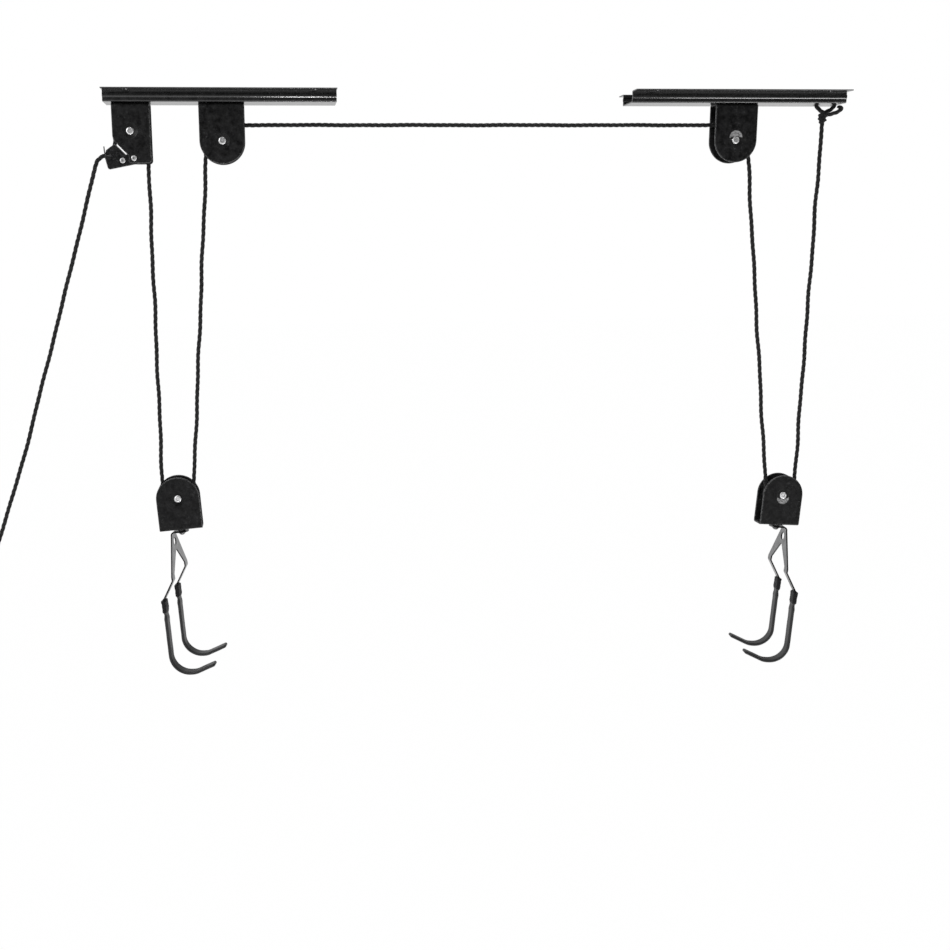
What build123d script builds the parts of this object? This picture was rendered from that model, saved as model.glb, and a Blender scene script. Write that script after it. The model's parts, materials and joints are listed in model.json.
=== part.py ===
"""Bicycle ceiling hoist: two ceiling brackets, a rope lock, pulleys, one rope and two hook blocks.

Millimetres, +Z up, X along the bicycle, Y from front to back.
The origin is the middle of the left bracket's ceiling face.
"""
import os
from math import asin, cos, hypot, radians, sin, sqrt, tan

from build123d import *

# Rope and pulleys
ROPE_D = 4.8
ROPE_R = ROPE_D / 2
CORNER_SHARE = 0.45
PITCH_R = 17.4
GROOVE_R = 14.7
GROOVE_ROUND = 2.9
RIM_R = 19.5
RIM_W = 10.4
GROOVE_MOUTH = 4.3
HUB_R = 7.5
HUB_END_GAP = 0.3
DISC_INNER_R = 13.0
DISC_OUTER_R = 14.5
DISC_RECESS = 1.5
RUN_FIT = 0.06
HOLE_FIT = 0.05

# Folded sheet housings
HOUSING_DEPTH = 18.0
HOUSING_SHEET = 1.8
HOUSING_GAP = HOUSING_DEPTH - 2 * HOUSING_SHEET
HOUSING_HALF = 24.8
HOUSING_FOLD_R = 2.6
RIM_ROUND = 0.6
HUB_LENGTH = HOUSING_GAP - 2 * HUB_END_GAP
DISH_R = 8.5
DISH_FLOOR_R = 4.8
DISH_DEPTH = 0.9
BLOCK_BELOW_AXLE = 37.5

# Tubular rivets and the small fixing rivets
AXLE_R = 3.0
AXLE_HEAD_R = 4.3
AXLE_HEAD_T = 1.7
AXLE_HEAD_FLAT_R = 2.6
AXLE_SHOULDER_R = 3.9
AXLE_SHOULDER_T = 1.2
AXLE_HOLLOW_R = 2.0
AXLE_HOLLOW_DEPTH = 1.0
SMALL_RIVET_R = 2.0
SMALL_HEAD_R = 3.0
SMALL_HEAD_T = 1.2
SMALL_HEAD_ROUND = 0.7
SMALL_HOLLOW_R = 1.2
SMALL_HOLLOW_DEPTH = 1.2
FIX_RIVET_R = 2.4
FIX_HEAD_R = 4.2
FIX_HEAD_T = 1.5
FIX_SPACING = 28.0

# Ceiling brackets, a hat section with a bead along each wall
BRACKET_SHEET = 1.2
BRACKET_HEIGHT = 13.0
FLANGE_EDGE = 30.0
WALL_Y = 16.0
BEAD_OUT = 1.0
BEAD_START = 3.9
BEAD_SLOPE = 1.0
BEAD_FLAT = 2.3
BEND_R = 0.9
BRACKET_LENGTH = 252.0
RIGHT_BRACKET_X = 584.5
SCREW_SPACING_X = 202.0
SCREW_Y = 23.0
SCREW_HOLE_R = 4.0
ROPE_HOLE_R = 4.0
ROPE_HOLES_X = (683.0, 704.0)

# Axle centres, as (x, z)
LEFT_PULLEY = (0.0, -53.2)
RIGHT_PULLEY = (584.5, -53.2)
LOCK_SHEAVE = (-99.2, -42.7)
LEFT_BLOCK = (-64.8, -454.4)
RIGHT_BLOCK = (666.2, -474.2)

# Rope lock
LOCK_LEFT = -118.3
LOCK_RIGHT = -77.3
LOCK_BOTTOM = -77.1
LOCK_TAB_LEFT = -101.6
LOCK_CHAMFER_TOP = -51.8
LOCK_CHAMFER_BOTTOM = -69.2
LOCK_CORNER_R = 12.0
LOCK_BACK_R = 4.0
LOCK_TAB_R = 1.5
CLEAT_SHEET = 1.6
CLEAT_FRONT_Y = HOUSING_GAP / 2 - 0.1
CLEAT_BACK_Y = 5.4
CLEAT_UPPER = [(-116.6, -56.2), (-105.0, -67.9), (-99.1, -65.5), (-89.0, -65.5)]
CLEAT_LOWER = [(-88.1, -76.7), (-124.5, -83.8)]
CLEAT_NOSE = [(-127.9, -70.0), (-126.0, -63.0)]
CLEAT_BACK_RAISE = 3.0
CLEAT_ROUND = 2.5
CAM_PIVOT = (-108.5, -74.0)
CLEAT_RIVET = (-96.0, -71.6)
CAM_FRONT_Y = -2.6
CAM_BACK_Y = 2.8
CAM_HUB_R = 5.4
CAM_CONTACT_R = 12.8
CAM_CONTACT_DEG = 149.0
CAM_RISE_PER_DEG = 0.1
CAM_TEETH = 6
CAM_TOOTH_STEP_DEG = 5.5
CAM_TOOTH_DEPTH = 1.0
SPRING_WIRE_D = 0.7
SPRING_R = 3.9
SPRING_PITCH = 0.9
SPRING_TURNS = 2
SPRING_START_Y = -5.0
GUIDE_WIRE_D = 1.3
GUIDE_BEND_R = 1.2
GUIDE_STAND_OFF = 1.5
GUIDE_FOOT = (-121.8, -68.7)
GUIDE_HOOK = [(-125.3, -69.5), (-127.4, -65.4), (-127.8, -59.2)]

# Rope route through the lock and down the hand line, as (x, z)
LOCK_TURN = (LOCK_SHEAVE[0] - PITCH_R, -62.8)
LOCK_EXIT = (-128.9, -68.1)
LOCK_TURN_R = 8.5
HAND_LINE = [
    LOCK_EXIT, (-136.28, -71.28), (-140.0, -81.2), (-145.2, -100.5), (-156.0, -136.4), (-173.3, -194.1),
    (-193.0, -260.2), (-213.3, -325.5), (-232.0, -388.1), (-252.1, -446.8), (-269.4, -494.3),
    (-283.4, -531.7),
]
KNOT_R = 5.4
KNOT_TURNS = 3
KNOT_WAIST_SHARE = 0.6
KNOT_LENGTH = 14.0
KNOT_TAIL = 12.0

# Rope anchor at the right bracket
ANCHOR_KNOT_TOP = (691.2, -19.6)
ANCHOR_KNOT_END = (691.4, -34.9)
ANCHOR_KNOT_R = 5.0
ANCHOR_LOOP_Z = -7.1
ANCHOR_LEG_Y = 2.7
ANCHOR_LEFT_LEG = [(691.3, -22.1), (ROPE_HOLES_X[0], -17.0)]
ANCHOR_RIGHT_LEG = [(705.6, -17.8), (691.9, -22.1)]

# Swivelling double hook, measured down from the block's underside and across from the swivel axis
HANG_TILT_DEG = 3.96
HOOK_TURN_DEG = {"left": -10.6, "right": -7.3}
SWIVEL_R = 3.0
SWIVEL_FIT = 0.08
SWIVEL_HEAD_R = 4.2
SWIVEL_TOP_T = 2.0
SWIVEL_DOME = 4.0
SWIVEL_GAP = 2.0
SWIVEL_PLAY = 0.2
STRIP_T = 1.6
STRIP_W = 9.6
TAB_R = 8.0
FORK_BEND_R = 3.6
FORK_BEND_END = 6.0
PLATE_TOP = 4.0
PLATE_X = -11.4
PLATE_LEAN_DEG = 3.5
PRONG_Y = 28.0
FOLD_DROP = 49.3
FOLD_LAP = 2.5
FOLD_PAST = 1.5
FOLD_R = 3.0
FORK_SHOULDER = 3.0
FORK_INNER_RISE = 4.0
FORK_CROTCH = (2.0, 22.5)
FORK_HOLE_R = 4.7
FORK_HOLE_DROP = 12.5
PRONG_X = -21.4
PRONG_TOP_DROP = 75.9
PRONG_TOP_R = 4.0
PRONG_LOW_DROP = 166.6
PRONG_LOW_R = 22.0
PRONG_FLAT_X = 6.5
PRONG_FLAT_R = 20.0
PRONG_TIP = (29.1, 157.4)
SLEEVE_WALL = 1.0
SLEEVE_ROUND = 1.5
SLEEVE_TOP_DROP = 77.3
SLEEVE_TIP = 1.4
COLLAR_LENGTH = 14.0
COLLAR_WALL = 1.4
COLLAR_ROUND = 1.3

os.makedirs("parts", exist_ok=True)


def write(part, name):
    """Label one finished piece and write it under its node's name."""
    part.label = name
    export_step(part, f"parts/{name}.step")


def at(point, y=0.0):
    """A point of the rope's plane, given as (x, z), in space."""
    return Vector(point[0], y, point[1])


def upright(point, y):
    """A plane facing the front, with its own x along X and its own y along Z."""
    return Plane(origin=at(point, y), x_dir=(1, 0, 0), z_dir=(0, -1, 0))


# Rope geometry


def turned(vector, angle):
    """A direction (x, z) turned anticlockwise as seen from the front."""
    x, z = vector
    return x * cos(angle) - z * sin(angle), x * sin(angle) + z * cos(angle)


def crossing_tangent(upper, lower, side):
    """Ends of a rope from one side of the upper pulley (1 right, -1 left) to the other side of the lower."""
    across, down = lower[0] - upper[0], lower[1] - upper[1]
    half = hypot(across, down) / 2
    lean = -side * asin(PITCH_R / half)
    x, z = turned((across / (2 * half), down / (2 * half)), lean)
    reach = sqrt(half**2 - PITCH_R**2)
    middle = ((upper[0] + lower[0]) / 2, (upper[1] + lower[1]) / 2)
    return (
        (middle[0] - x * reach, middle[1] - z * reach),
        (middle[0] + x * reach, middle[1] + z * reach),
    )


def right_tangent(start, pulley):
    """Point where a rope from start touches the right side of a pulley below it."""
    across, down = pulley[0] - start[0], pulley[1] - start[1]
    distance = hypot(across, down)
    x, z = turned((across / distance, down / distance), asin(PITCH_R / distance))
    reach = sqrt(distance**2 - PITCH_R**2)
    return start[0] + x * reach, start[1] + z * reach


def cord_radii(points, name):
    """Corner radii as large as the runs allow, printed for a check."""
    radii = []
    for before, corner, after in zip(points, points[1:], points[2:]):
        first = corner - before
        second = after - corner
        turn = radians(first.get_angle(second))
        radii.append(CORNER_SHARE * min(first.length, second.length) / tan(turn / 2))
    print(name, "corner radii", [round(radius, 1) for radius in radii])
    return radii


def rope(path, name):
    """A rope of round section along a wire, with its volume compared with section times length."""
    with BuildPart() as strand:
        with BuildSketch(Plane(origin=path @ 0, z_dir=path % 0)):
            Circle(ROPE_R)
        sweep(path=path)
    section = Circle(ROPE_R, mode=Mode.PRIVATE).area
    ratio = strand.part.volume / (section * path.length)
    print(name, "length", round(path.length, 1), "volume ratio", round(ratio, 4))
    write(strand.part, name)


def straight_rope(ends, name):
    """A taut run between two tangent points."""
    with BuildLine() as run:
        Line(at(ends[0]), at(ends[1]))
    rope(run.wire(), name)


def wrapped_rope(pulley, start, end, through_deg, name):
    """The arc of rope that lies in a pulley's groove, through the point at an angle from +X."""
    angle = radians(through_deg)
    crown = (pulley[0] + PITCH_R * cos(angle), pulley[1] + PITCH_R * sin(angle))
    with BuildLine() as arc:
        ThreePointArc(at(start), at(crown), at(end))
    rope(arc.wire(), name)


# Repeated pieces


def bracket(name, x, rope_holes=()):
    """A hat-section ceiling bracket with four screw holes, rivet holes and any holes for the rope."""
    mid = BRACKET_SHEET / 2
    wall = WALL_Y - mid
    half = [
        (-FLANGE_EDGE + mid, -mid),
        (-wall, -mid),
        (-wall, -BEAD_START),
        (-wall - BEAD_OUT, -BEAD_START - BEAD_SLOPE),
        (-wall - BEAD_OUT, -BEAD_START - BEAD_SLOPE - BEAD_FLAT),
        (-wall, -BEAD_START - 2 * BEAD_SLOPE - BEAD_FLAT),
        (-wall, mid - BRACKET_HEIGHT),
    ]
    outline = half + [(-y, z) for y, z in reversed(half)]
    with BuildPart() as channel:
        with BuildSketch(Plane.YZ.offset(x - BRACKET_LENGTH / 2)):
            with BuildLine():
                FilletPolyline(*outline, radius=BEND_R)
                offset(amount=mid, side=Side.BOTH)
            make_face()
        extrude(amount=BRACKET_LENGTH)
        with Locations((x, 0, -mid)):
            with GridLocations(SCREW_SPACING_X, 2 * SCREW_Y, 2, 2):
                Cylinder(SCREW_HOLE_R, 2 * BRACKET_SHEET, mode=Mode.SUBTRACT)
        with Locations(*[(place, 0, mid - BRACKET_HEIGHT) for place in fixing_places(name)]):
            Cylinder(FIX_RIVET_R + HOLE_FIT, 2 * BRACKET_SHEET, mode=Mode.SUBTRACT)
        for place in rope_holes:
            with Locations((place, 0, mid - BRACKET_HEIGHT)):
                Cylinder(ROPE_HOLE_R, 2 * BRACKET_SHEET, mode=Mode.SUBTRACT)
    write(channel.part, name)


def fixing_pair(x):
    """Where the two rivets of one housing stand."""
    return x - FIX_SPACING / 2, x + FIX_SPACING / 2


def fixing_places(name):
    """Where the rivets that hold the housings pass through a bracket's web."""
    if name == "left_bracket":
        lock_middle = (LOCK_LEFT + LOCK_RIGHT) / 2
        return fixing_pair(LEFT_PULLEY[0]) + fixing_pair(lock_middle)
    return fixing_pair(RIGHT_PULLEY[0])


def fixing_rivets(name, x):
    """Two rivets that hold a housing's web under a bracket's web, as one node."""
    top = BRACKET_SHEET - BRACKET_HEIGHT
    under = -BRACKET_HEIGHT - HOUSING_SHEET
    with BuildPart() as pair:
        with Locations(*[(place, 0, (top + under) / 2) for place in fixing_pair(x)]):
            Cylinder(FIX_RIVET_R, top - under)
        with Locations(*[(place, 0, top + FIX_HEAD_T / 2) for place in fixing_pair(x)]):
            Cylinder(FIX_HEAD_R, FIX_HEAD_T)
        with Locations(*[(place, 0, under - FIX_HEAD_T / 2) for place in fixing_pair(x)]):
            Cylinder(FIX_HEAD_R, FIX_HEAD_T)
    write(pair.part, name)


def dished_hole(axle):
    """Cut an axle hole through both plates of a housing, each with a pressed dish round it."""
    with Locations(at(axle)):
        Cylinder(AXLE_R + HOLE_FIT, 2 * HOUSING_DEPTH, rotation=(90, 0, 0), mode=Mode.SUBTRACT)
    dish_y = (HOUSING_DEPTH - DISH_DEPTH) / 2
    with Locations(at(axle, -dish_y)):
        Cone(DISH_FLOOR_R, DISH_R, DISH_DEPTH, rotation=(90, 0, 0), mode=Mode.SUBTRACT)
    with Locations(at(axle, dish_y)):
        Cone(DISH_FLOOR_R, DISH_R, DISH_DEPTH, rotation=(-90, 0, 0), mode=Mode.SUBTRACT)


def folded_gap(x, web_z, far_z):
    """Open the inside of a folded housing, from its web to past its far end."""
    inner = web_z + HOUSING_SHEET * (1 if far_z > web_z else -1)
    with Locations((x, 0, (inner + far_z) / 2)):
        Box(4 * HOUSING_HALF, HOUSING_GAP, abs(far_z - inner), mode=Mode.SUBTRACT)


def plate_rims(shell):
    """The outer edges of a housing's front and back plates, apart from the fold."""
    plates = shell.faces().filter_by(Axis.Y).sort_by(Axis.Y)
    rims = plates[0].edges() + plates[-1].edges()
    return rims.filter_by(Axis.X, reverse=True)


def pulley_housing(axle, web_z, web_holes):
    """A U of folded sheet: two plates rounded about the axle, joined by a flat web."""
    side = 1 if web_z > axle[1] else -1
    reach = abs(web_z - axle[1])
    with BuildPart() as shell:
        with BuildSketch(upright(axle, HOUSING_DEPTH / 2)):
            Circle(HOUSING_HALF)
            with Locations((0, side * reach / 2)):
                Rectangle(2 * HOUSING_HALF, reach)
        extrude(amount=HOUSING_DEPTH)
        fillet(shell.edges().filter_by(Axis.X).sort_by(Axis.Z, reverse=side > 0)[:2], HOUSING_FOLD_R)
        fillet(plate_rims(shell), RIM_ROUND)
        folded_gap(axle[0], web_z, axle[1] - side * 2 * HOUSING_HALF)
        dished_hole(axle)
        for place, radius in web_holes:
            with Locations((place, 0, web_z)):
                Cylinder(radius, 4 * HOUSING_SHEET, mode=Mode.SUBTRACT)
    return shell.part


def axle_rivet(name, axle):
    """A tubular rivet whose rolled heads sit in the dishes of a housing's two plates."""
    seat = HOUSING_DEPTH / 2 - DISH_DEPTH
    top = seat + AXLE_HEAD_T
    floor = top - AXLE_HOLLOW_DEPTH
    rolled = (AXLE_HEAD_FLAT_R, top)
    with BuildPart() as rivet:
        with BuildSketch(Plane(origin=at(axle))):
            with BuildLine():
                Polyline((0, 0), (0, floor), (AXLE_HOLLOW_R, floor), (AXLE_HOLLOW_R, top), rolled)
                ThreePointArc(rolled, (AXLE_SHOULDER_R, seat + AXLE_SHOULDER_T), (AXLE_HEAD_R, seat))
                Polyline((AXLE_HEAD_R, seat), (AXLE_R, seat), (AXLE_R, 0), (0, 0))
            make_face()
            mirror(about=Plane.XZ)
        revolve(axis=Axis(at(axle), (0, 1, 0)))
    write(rivet.part, name)


def sheave(name, axle):
    """A grooved pulley wheel with a long hub, free to turn on its axle rivet."""
    half_rim = RIM_W / 2
    half_hub = HUB_LENGTH / 2
    half_disc = half_rim - DISC_RECESS
    groove = (GROOVE_R + GROOVE_ROUND, GROOVE_ROUND)
    bore = AXLE_R + RUN_FIT
    with BuildPart() as wheel:
        with BuildSketch(Plane(origin=at(axle))):
            with BuildLine():
                Polyline(
                    (groove[0], -groove[1]),
                    (RIM_R, -GROOVE_MOUTH),
                    (RIM_R, -half_rim),
                    (DISC_OUTER_R, -half_rim),
                    (DISC_INNER_R, -half_disc),
                    (HUB_R, -half_disc),
                    (HUB_R, -half_hub),
                    (bore, -half_hub),
                    (bore, half_hub),
                    (HUB_R, half_hub),
                    (HUB_R, half_disc),
                    (DISC_INNER_R, half_disc),
                    (DISC_OUTER_R, half_rim),
                    (RIM_R, half_rim),
                    (RIM_R, GROOVE_MOUTH),
                    groove,
                )
                ThreePointArc(groove, (GROOVE_R, 0), (groove[0], -groove[1]))
            make_face()
        revolve(axis=Axis(at(axle), (0, 1, 0)))
    write(wheel.part, name)


def small_rivet(name, place, front_y, back_y):
    """A tubular cross rivet of the rope lock, through plates whose outer faces are at front_y and back_y."""
    with BuildPart() as rivet:
        with Locations(at(place, (front_y + back_y) / 2)):
            Cylinder(SMALL_RIVET_R, back_y - front_y, rotation=(90, 0, 0))
        with Locations(at(place, front_y - SMALL_HEAD_T / 2), at(place, back_y + SMALL_HEAD_T / 2)):
            Cylinder(SMALL_HEAD_R, SMALL_HEAD_T, rotation=(90, 0, 0))
        heads = rivet.faces().filter_by(Axis.Y).sort_by(Axis.Y)
        fillet(heads[0].edges() + heads[-1].edges(), SMALL_HEAD_ROUND)
        with Locations(at(place, front_y - SMALL_HEAD_T), at(place, back_y + SMALL_HEAD_T)):
            Cylinder(SMALL_HOLLOW_R, 2 * SMALL_HOLLOW_DEPTH, rotation=(90, 0, 0), mode=Mode.SUBTRACT)
    write(rivet.part, name)


# Brackets and fixed pulleys

bracket("left_bracket", 0)
bracket("right_bracket", RIGHT_BRACKET_X, ROPE_HOLES_X)

for label, axle in (("left", LEFT_PULLEY), ("right", RIGHT_PULLEY)):
    holes = [(place, FIX_RIVET_R + HOLE_FIT) for place in fixing_pair(axle[0])]
    write(pulley_housing(axle, -BRACKET_HEIGHT, holes), f"{label}_pulley_housing")
    fixing_rivets(f"{label}_housing_rivets", axle[0])
    axle_rivet(f"{label}_pulley_axle", axle)
    sheave(f"{label}_pulley_sheave", axle)

# Rope lock: a folded housing with a cut corner, two cleat plates, a toothed cam and a hooked wire guide

lock_middle = (LOCK_LEFT + LOCK_RIGHT) / 2
lock_corners = [
    (LOCK_LEFT, -BRACKET_HEIGHT),
    (LOCK_RIGHT, -BRACKET_HEIGHT),
    (LOCK_RIGHT, LOCK_BOTTOM),
    (LOCK_TAB_LEFT, LOCK_BOTTOM),
    (LOCK_TAB_LEFT, LOCK_CHAMFER_BOTTOM),
    (LOCK_LEFT, LOCK_CHAMFER_TOP),
]
with BuildPart() as lock_housing:
    with BuildSketch(upright((0, 0), HOUSING_DEPTH / 2)) as lock_face:
        Polygon(*lock_corners, align=None)
        fillet(lock_face.vertices().sort_by_distance((LOCK_LEFT, LOCK_CHAMFER_TOP))[0], LOCK_CORNER_R)
        fillet(lock_face.vertices().sort_by_distance((LOCK_RIGHT, LOCK_BOTTOM))[0], LOCK_BACK_R)
        fillet(lock_face.vertices().sort_by_distance((LOCK_TAB_LEFT, LOCK_BOTTOM))[0], LOCK_TAB_R)
    extrude(amount=HOUSING_DEPTH)
    fillet(lock_housing.edges().filter_by(Axis.X).sort_by(Axis.Z, reverse=True)[:2], HOUSING_FOLD_R)
    fillet(plate_rims(lock_housing), RIM_ROUND)
    folded_gap(lock_middle, -BRACKET_HEIGHT, 2 * LOCK_BOTTOM)
    dished_hole(LOCK_SHEAVE)
    with Locations(at(CLEAT_RIVET)):
        Cylinder(SMALL_RIVET_R + HOLE_FIT, 2 * HOUSING_DEPTH, rotation=(90, 0, 0), mode=Mode.SUBTRACT)
    with Locations(*[(place, 0, -BRACKET_HEIGHT) for place in fixing_pair(lock_middle)]):
        Cylinder(FIX_RIVET_R + HOLE_FIT, 4 * HOUSING_SHEET, mode=Mode.SUBTRACT)
write(lock_housing.part, "lock_housing")
fixing_rivets("lock_housing_rivets", lock_middle)
axle_rivet("lock_axle", LOCK_SHEAVE)
sheave("lock_sheave", LOCK_SHEAVE)

cleat_sides = [("front", -CLEAT_FRONT_Y, 1, 0), ("back", CLEAT_BACK_Y, -1, CLEAT_BACK_RAISE)]
for label, face_y, inward, raised in cleat_sides:
    lower = [(x, z + raised) for x, z in CLEAT_LOWER]
    with BuildPart() as cleat_plate:
        with BuildSketch(upright((0, 0), face_y)) as cleat_face:
            Polygon(*CLEAT_UPPER, *lower, *CLEAT_NOSE, align=None)
            fillet(cleat_face.vertices().sort_by_distance(lower[1])[0], CLEAT_ROUND)
            fillet(cleat_face.vertices().sort_by_distance(CLEAT_NOSE[0])[0], CLEAT_ROUND)
            with Locations(CAM_PIVOT, CLEAT_RIVET):
                Circle(SMALL_RIVET_R + HOLE_FIT, mode=Mode.SUBTRACT)
            if label == "front":
                with Locations(GUIDE_FOOT):
                    Circle(GUIDE_WIRE_D / 2 + HOLE_FIT, mode=Mode.SUBTRACT)
        extrude(amount=-inward * CLEAT_SHEET)
    write(cleat_plate.part, f"cleat_plate_{label}")

small_rivet("cam_pivot_rivet", CAM_PIVOT, -CLEAT_FRONT_Y, CLEAT_BACK_Y)
small_rivet("cleat_rivet", CLEAT_RIVET, -HOUSING_DEPTH / 2, HOUSING_DEPTH / 2)

# The cam's toothed face grows away from its pivot, so that a rope running back wedges it tighter
tooth_points = []
for step in range(2 * CAM_TEETH + 1):
    angle_deg = CAM_CONTACT_DEG + (step / 2 - CAM_TEETH / 2) * CAM_TOOTH_STEP_DEG
    reach = CAM_CONTACT_R + CAM_RISE_PER_DEG * (angle_deg - CAM_CONTACT_DEG)
    reach -= CAM_TOOTH_DEPTH * (step % 2 == 0)
    tooth_points.append((reach * cos(radians(angle_deg)), reach * sin(radians(angle_deg))))
first_deg = CAM_CONTACT_DEG - 90
last_deg = CAM_CONTACT_DEG + 90
cam_base = [
    (CAM_HUB_R * cos(radians(last_deg)), CAM_HUB_R * sin(radians(last_deg))),
    (CAM_HUB_R * cos(radians(first_deg)), CAM_HUB_R * sin(radians(first_deg))),
]
with BuildPart() as lock_cam:
    with BuildSketch(upright(CAM_PIVOT, CAM_BACK_Y)):
        Circle(CAM_HUB_R)
        Polygon(*tooth_points, *cam_base, align=None)
        Circle(SMALL_RIVET_R + RUN_FIT, mode=Mode.SUBTRACT)
    extrude(amount=CAM_BACK_Y - CAM_FRONT_Y)
write(lock_cam.part, "lock_cam")

with BuildPart() as cam_spring:
    with BuildLine() as coil:
        coil_length = SPRING_PITCH * SPRING_TURNS
        spring_start = at(CAM_PIVOT, SPRING_START_Y)
        Helix(SPRING_PITCH, coil_length, SPRING_R, center=spring_start, direction=(0, 1, 0))
    with BuildSketch(Plane(origin=coil.wire() @ 0, z_dir=coil.wire() % 0)):
        Circle(SPRING_WIRE_D / 2)
    sweep(path=coil.wire(), is_frenet=True)
write(cam_spring.part, "cam_spring")
print("cam_spring gap between turns", round(SPRING_PITCH - SPRING_WIRE_D, 2))

guide_y = -CLEAT_FRONT_Y - GUIDE_STAND_OFF
guide_points = [at(GUIDE_FOOT, CLEAT_SHEET - CLEAT_FRONT_Y), at(GUIDE_FOOT, guide_y)]
guide_points += [at(point, guide_y) for point in GUIDE_HOOK]
with BuildPart() as wire_guide:
    with BuildLine() as hooked_wire:
        FilletPolyline(*guide_points, radius=GUIDE_BEND_R)
    with BuildSketch(Plane(origin=hooked_wire.wire() @ 0, z_dir=hooked_wire.wire() % 0)):
        Circle(GUIDE_WIRE_D / 2)
    sweep(path=hooked_wire.wire())
write(wire_guide.part, "wire_guide")

# Hook blocks: a housing with its web below, a sheave, a swivel rivet and a double hook


def hang(piece, axle, side):
    """Turn a block's piece about its axle to the tilt at which the block and its hook hang in balance."""
    return piece.rotate(Axis(at(axle), (0, 1, 0)), -side * HANG_TILT_DEG)


def swivelled(piece, axle, label):
    """Turn a hook's piece about its swivel to the way that the hook faces in the photograph."""
    return piece.rotate(Axis(at(axle), (0, 0, 1)), HOOK_TURN_DEG[label])


def swivel_rivet(x, under_z):
    """The shouldered rivet on which a hook turns under its block."""
    shoulder_low = under_z - SWIVEL_GAP + SWIVEL_PLAY
    tab_low = under_z - SWIVEL_GAP - STRIP_T - SWIVEL_PLAY
    web_top = under_z + HOUSING_SHEET
    head_top = web_top + SWIVEL_TOP_T
    dome_r = (SWIVEL_HEAD_R**2 + SWIVEL_DOME**2) / (2 * SWIVEL_DOME)
    half_way = asin(SWIVEL_HEAD_R / dome_r) / 2
    dome_centre = tab_low - SWIVEL_DOME + dome_r
    with BuildPart() as rivet:
        with BuildSketch(upright((x, 0), 0)):
            with BuildLine():
                Polyline(
                    (0, tab_low - SWIVEL_DOME),
                    (0, head_top),
                    (SWIVEL_HEAD_R, head_top),
                    (SWIVEL_HEAD_R, web_top),
                    (SWIVEL_R, web_top),
                    (SWIVEL_R, under_z),
                    (SWIVEL_HEAD_R, under_z),
                    (SWIVEL_HEAD_R, shoulder_low),
                    (SWIVEL_R, shoulder_low),
                    (SWIVEL_R, tab_low),
                    (SWIVEL_HEAD_R, tab_low),
                )
                ThreePointArc(
                    (SWIVEL_HEAD_R, tab_low),
                    (dome_r * sin(half_way), dome_centre - dome_r * cos(half_way)),
                    (0, tab_low - SWIVEL_DOME),
                )
            make_face()
        revolve(axis=Axis((x, 0, 0), (0, 0, 1)))
    return rivet.part


def prong_wire(x, side, under_z, y, corners, bends):
    """A prong's centreline through corners given as (across, drop), with the bend at each inner corner."""
    points = [at((x + side * across, under_z - drop), y) for across, drop in corners]
    with BuildLine() as line:
        FilletPolyline(*points, radius=bends)
    return line.wire()


def hook_fork(x, side, under_z):
    """A stamped strip hook: a swivel tab, a forked plate bent down from it and two J-shaped prongs."""
    lean_x = sin(radians(PLATE_LEAN_DEG))
    lean_z = cos(radians(PLATE_LEAN_DEG))
    root_drop = SWIVEL_GAP + STRIP_T / 2
    root = (x + side * PLATE_X, under_z - root_drop)

    def on_plate(drop):
        return PLATE_X + lean_x * drop, root_drop + lean_z * drop

    bend_end = on_plate(FORK_BEND_END)
    bend = [(x, root[1]), root, (x + side * bend_end[0], under_z - bend_end[1])]
    plate_plane = Plane(origin=at(root), x_dir=(0, 1, 0), z_dir=(lean_z, 0, side * lean_x))
    inner = PRONG_Y - STRIP_W / 2
    outer = PRONG_Y + STRIP_W / 2
    half_fork = [
        (TAB_R, -PLATE_TOP),
        (outer, -FOLD_DROP + FORK_SHOULDER),
        (outer, -FOLD_DROP),
        (inner, -FOLD_DROP),
        (inner, -FOLD_DROP + FORK_INNER_RISE),
        (FORK_CROTCH[0], -FORK_CROTCH[1]),
    ]
    corners = [
        on_plate(FOLD_DROP - FOLD_LAP),
        on_plate(FOLD_DROP + FOLD_PAST),
        (PRONG_X, PRONG_TOP_DROP),
        (PRONG_X, PRONG_LOW_DROP),
        (PRONG_FLAT_X, PRONG_LOW_DROP),
        PRONG_TIP,
    ]
    bends = [FOLD_R, PRONG_TOP_R, PRONG_LOW_R, PRONG_FLAT_R]
    prongs = [prong_wire(x, side, under_z, y, corners, bends) for y in (-PRONG_Y, PRONG_Y)]
    with BuildPart() as fork:
        with BuildSketch(upright((0, 0), 0)):
            with BuildLine():
                FilletPolyline(*bend, radius=FORK_BEND_R)
                offset(amount=STRIP_T / 2, side=Side.BOTH)
            make_face()
        extrude(amount=TAB_R, both=True)
        with Locations(at((x, root[1]))):
            Cylinder(TAB_R, STRIP_T)
            Cylinder(SWIVEL_R + SWIVEL_FIT, 2 * STRIP_T, mode=Mode.SUBTRACT)
        with BuildSketch(plate_plane):
            Polygon(*half_fork, *[(-across, up) for across, up in reversed(half_fork)], align=None)
            with Locations((0, -FORK_HOLE_DROP)):
                Circle(FORK_HOLE_R, mode=Mode.SUBTRACT)
        extrude(amount=STRIP_T / 2, both=True)
        for path in prongs:
            with BuildSketch(Plane(origin=path @ 0, x_dir=(0, 1, 0), z_dir=path % 0)):
                Rectangle(STRIP_W, STRIP_T)
            sweep(path=path)
    return fork.part


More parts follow.
